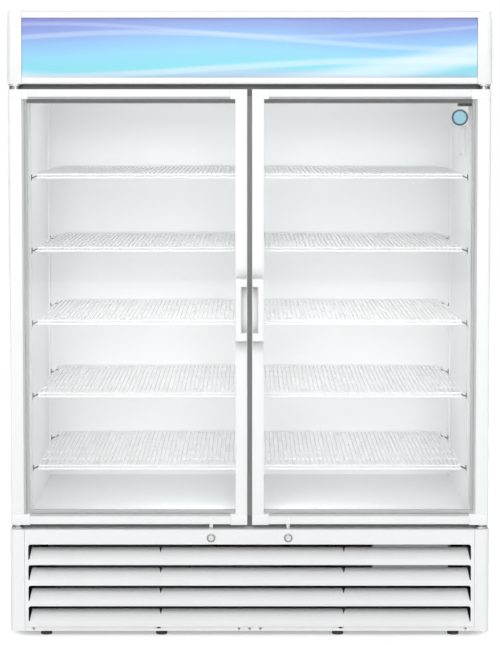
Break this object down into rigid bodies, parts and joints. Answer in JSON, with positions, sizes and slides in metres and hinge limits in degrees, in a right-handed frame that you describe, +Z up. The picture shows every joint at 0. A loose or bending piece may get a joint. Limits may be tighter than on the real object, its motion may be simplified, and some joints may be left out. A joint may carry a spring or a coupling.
{
  "type": "glass door merchandiser refrigerator",
  "caption": "Free-standing refrigerated display cabinet with hinged glass doors, wire shelves, a lit header and a louvred base.",
  "frame": {"origin": "centre of the overall box on the floor, under the feet", "axes": "+Z up, the doors face -Y, +X to the right when facing the doors"},
  "size_m": [1.381, 0.8, 1.795],
  "materials": {
    "white_steel": "gloss powder coat",
    "white_lining": "satin white lining sheet",
    "zinc_steel": "galvanised sheet, dull",
    "foam": "rigid insulating foam",
    "door_white": "white painted door sections",
    "glazing": "clear double glazing",
    "seal_grey": "soft grey door seal",
    "white_moulding": "white moulded plastic",
    "sign_sheet": "backlit sheet in flowing blues, plain of any words",
    "lamp_cover": "frosted lamp cover",
    "hinge_metal": "plated steel",
    "lock_metal": "satin chrome",
    "white_wire": "white plastic-coated wire",
    "black_plastic": "black moulded plastic",
    "foot_black": "black foot with a steel stud",
    "fin_metal": "aluminium fins",
    "copper": "copper tube",
    "compressor_black": "black enamelled shell",
    "mount_rubber": "rubber bush"
  },
  "bodies": {
    "cabinet": {"base_frame": "white_steel", "panel_screws": "hinge_metal", "left_side_panel": "white_steel", "right_side_panel": "white_steel", "back_panel": "zinc_steel", "top_panel": "white_steel", "cabinet_bottom": "zinc_steel", "insulation": "foam", "inner_liner": "white_lining", "front_trim": "white_steel", "centre_mullion": "white_lining", "header_housing": "white_steel", "header_end_caps": "white_moulding", "sign_panel": "sign_sheet", "led_lamps": "lamp_cover", "corner_posts": "white_steel", "grille_panel": "white_steel", "lock_shells": "lock_metal", "hinge_brackets": "hinge_metal", "left_shelves": "white_wire", "right_shelves": "white_wire", "shelf_pilasters": "white_lining", "shelf_clips": "zinc_steel", "lamp_switch_box": "black_plastic", "sensor_cover": "white_moulding", "evaporator_cover": "white_lining", "evaporator_coil": "fin_metal", "evaporator_drain": "white_moulding", "fan_motors": "black_plastic", "condenser_coil": "fin_metal", "condenser_shroud": "zinc_steel", "compressor": "compressor_black", "compressor_mounts": "mount_rubber", "refrigerant_pipes": "copper", "condensate_pan": "black_plastic", "control_box": "zinc_steel", "rear_grille": "zinc_steel", "power_inlet": "black_plastic"},
    "left_door": {"left_door_frame": "door_white", "left_door_glass": "glazing", "left_door_gasket": "seal_grey", "left_door_handle": "white_moulding"},
    "right_door": {"right_door_frame": "door_white", "right_door_glass": "glazing", "right_door_gasket": "seal_grey", "right_door_handle": "white_moulding"},
    "left_lock_barrel": {"left_lock_barrel": "lock_metal"},
    "right_lock_barrel": {"right_lock_barrel": "lock_metal"},
    "left_lock_bolt": {"left_lock_bolt": "hinge_metal"},
    "right_lock_bolt": {"right_lock_bolt": "hinge_metal"},
    "left_evaporator_fan": {"left_evaporator_fan": "black_plastic"},
    "right_evaporator_fan": {"right_evaporator_fan": "black_plastic"},
    "condenser_fan": {"condenser_fan": "black_plastic"},
    "lamp_switch_rocker": {"lamp_switch_rocker": "black_plastic"},
    "levelling_foot_1": {"levelling_foot_1": "foot_black"},
    "levelling_foot_2": {"levelling_foot_2": "foot_black"},
    "levelling_foot_3": {"levelling_foot_3": "foot_black"},
    "levelling_foot_4": {"levelling_foot_4": "foot_black"},
    "levelling_foot_5": {"levelling_foot_5": "foot_black"},
    "levelling_foot_6": {"levelling_foot_6": "foot_black"}
  },
  "joints": [
    {"name": "left_door_hinge", "type": "hinge", "parent": "cabinet", "child": "left_door", "pos_m": [-0.668, -0.339, 0.326], "axis": [0, 0, -1], "range_deg": [0, 90]},
    {"name": "right_door_hinge", "type": "hinge", "parent": "cabinet", "child": "right_door", "pos_m": [0.668, -0.339, 0.326], "axis": [0, 0, 1], "range_deg": [0, 90]},
    {"name": "left_lock_turn", "type": "hinge", "parent": "cabinet", "child": "left_lock_barrel", "pos_m": [-0.111, -0.362, 0.286], "axis": [0, -1, 0], "range_deg": [0, 90]},
    {"name": "right_lock_turn", "type": "hinge", "parent": "cabinet", "child": "right_lock_barrel", "pos_m": [0.111, -0.362, 0.286], "axis": [0, -1, 0], "range_deg": [0, 90]},
    {"name": "left_lock_slide", "type": "slide", "parent": "cabinet", "child": "left_lock_bolt", "axis": [0, 0, 1], "range_m": [0, 0.01414]},
    {"name": "right_lock_slide", "type": "slide", "parent": "cabinet", "child": "right_lock_bolt", "axis": [0, 0, 1], "range_m": [0, 0.01414]},
    {"name": "left_evaporator_fan_spin", "type": "hinge", "parent": "cabinet", "child": "left_evaporator_fan", "pos_m": [-0.25, -0.193, 1.667], "axis": [0, 1, 0], "continuous": true},
    {"name": "right_evaporator_fan_spin", "type": "hinge", "parent": "cabinet", "child": "right_evaporator_fan", "pos_m": [0.25, -0.193, 1.667], "axis": [0, 1, 0], "continuous": true},
    {"name": "condenser_fan_spin", "type": "hinge", "parent": "cabinet", "child": "condenser_fan", "pos_m": [-0.365, -0.172, 0.144], "axis": [0, 1, 0], "continuous": true},
    {"name": "lamp_switch_rock", "type": "hinge", "parent": "cabinet", "child": "lamp_switch_rocker", "pos_m": [0.62, -0.3, 1.5405], "axis": [-1, 0, 0], "range_deg": [0, 20]},
    {"name": "levelling_foot_1_turn", "type": "hinge", "parent": "cabinet", "child": "levelling_foot_1", "pos_m": [-0.589, -0.332, 0], "axis": [0, 0, 1], "continuous": true},
    {"name": "levelling_foot_2_turn", "type": "hinge", "parent": "cabinet", "child": "levelling_foot_2", "pos_m": [-0.255, -0.332, 0], "axis": [0, 0, 1], "continuous": true},
    {"name": "levelling_foot_3_turn", "type": "hinge", "parent": "cabinet", "child": "levelling_foot_3", "pos_m": [0.255, -0.332, 0], "axis": [0, 0, 1], "continuous": true},
    {"name": "levelling_foot_4_turn", "type": "hinge", "parent": "cabinet", "child": "levelling_foot_4", "pos_m": [0.589, -0.332, 0], "axis": [0, 0, 1], "continuous": true},
    {"name": "levelling_foot_5_turn", "type": "hinge", "parent": "cabinet", "child": "levelling_foot_5", "pos_m": [-0.589, 0.37, 0], "axis": [0, 0, 1], "continuous": true},
    {"name": "levelling_foot_6_turn", "type": "hinge", "parent": "cabinet", "child": "levelling_foot_6", "pos_m": [0.589, 0.37, 0], "axis": [0, 0, 1], "continuous": true}
  ],
  "couplings": [
    {"joint": "left_lock_slide", "follows": "left_lock_turn", "m_per_rad": 0.009003},
    {"joint": "right_lock_slide", "follows": "right_lock_turn", "m_per_rad": 0.009003}
  ]
}
